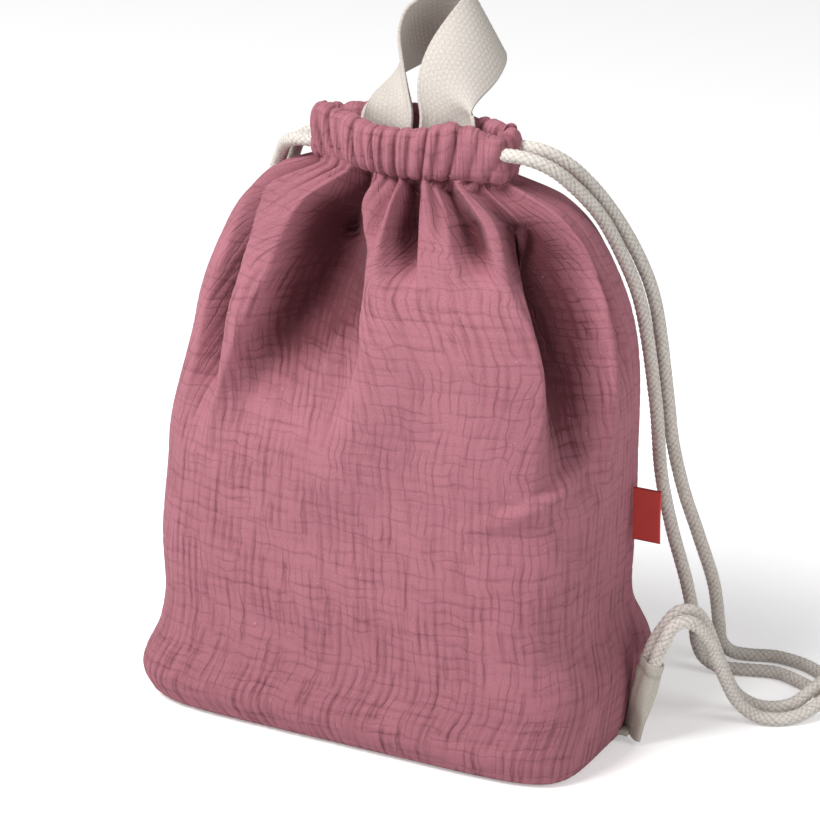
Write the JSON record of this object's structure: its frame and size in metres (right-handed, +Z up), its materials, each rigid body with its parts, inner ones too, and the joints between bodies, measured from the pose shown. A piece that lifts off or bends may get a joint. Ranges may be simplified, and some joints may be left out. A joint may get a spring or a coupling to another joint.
{
  "type": "drawstring backpack",
  "caption": "Child-size drawstring backpack of crinkled dusty-rose cotton with a gathered mouth, braided beige cords, canvas corner tabs, a cream webbing hand loop and a plain red side label.",
  "frame": {"origin": "on the floor under the bag, near the middle of its flat base", "axes": "+X to the right seen from the front, where the label is; -Y faces the front; +Z is up through the mouth"},
  "size_m": [0.379, 0.2218, 0.3601],
  "materials": {
    "rose_cotton": "matte",
    "beige_cord": "matte",
    "cream_canvas": "matte",
    "cream_webbing": "matte",
    "red_label": "satin"
  },
  "bodies": {
    "bag": {"front_panel": "rose_cotton", "back_panel": "rose_cotton", "base_panel": "rose_cotton", "right_cord_front_strand": "beige_cord", "right_cord_back_strand": "beige_cord", "left_cord_front_strand": "beige_cord", "left_cord_back_strand": "beige_cord", "right_cord_cross": "beige_cord", "left_cord_cross": "beige_cord", "right_tab": "cream_canvas", "left_tab": "cream_canvas"},
    "front_lip": {"front_channel": "rose_cotton", "right_cord_front_run": "beige_cord", "left_cord_front_run": "beige_cord"},
    "back_lip": {"back_channel": "rose_cotton", "right_cord_back_run": "beige_cord", "left_cord_back_run": "beige_cord", "handle_left_end": "cream_webbing", "handle_right_end": "cream_webbing"},
    "handle": {"handle_loop": "cream_webbing"},
    "label": {"side_label": "red_label"}
  },
  "joints": [
    {"name": "mouth_front_open", "type": "hinge", "parent": "bag", "child": "front_lip", "pos_m": [0.003, -0.0235, 0.2763], "axis": [1, 0, 0], "range_deg": [0, 20]},
    {"name": "mouth_back_open", "type": "hinge", "parent": "bag", "child": "back_lip", "pos_m": [0.003, 0.0235, 0.2763], "axis": [-1, 0, 0], "range_deg": [0, 20]},
    {"name": "handle_swing", "type": "hinge", "parent": "back_lip", "child": "handle", "pos_m": [0.003, 0.0062, 0.303], "axis": [1, 0, 0], "range_deg": [-45, 45]},
    {"name": "label_swing", "type": "hinge", "parent": "bag", "child": "label", "pos_m": [0.10887, 0.025, 0.1095], "axis": [0, 0, 1], "range_deg": [-60, 60]}
  ],
  "couplings": [
    {"joint": "mouth_back_open", "follows": "mouth_front_open", "ratio": 1}
  ]
}
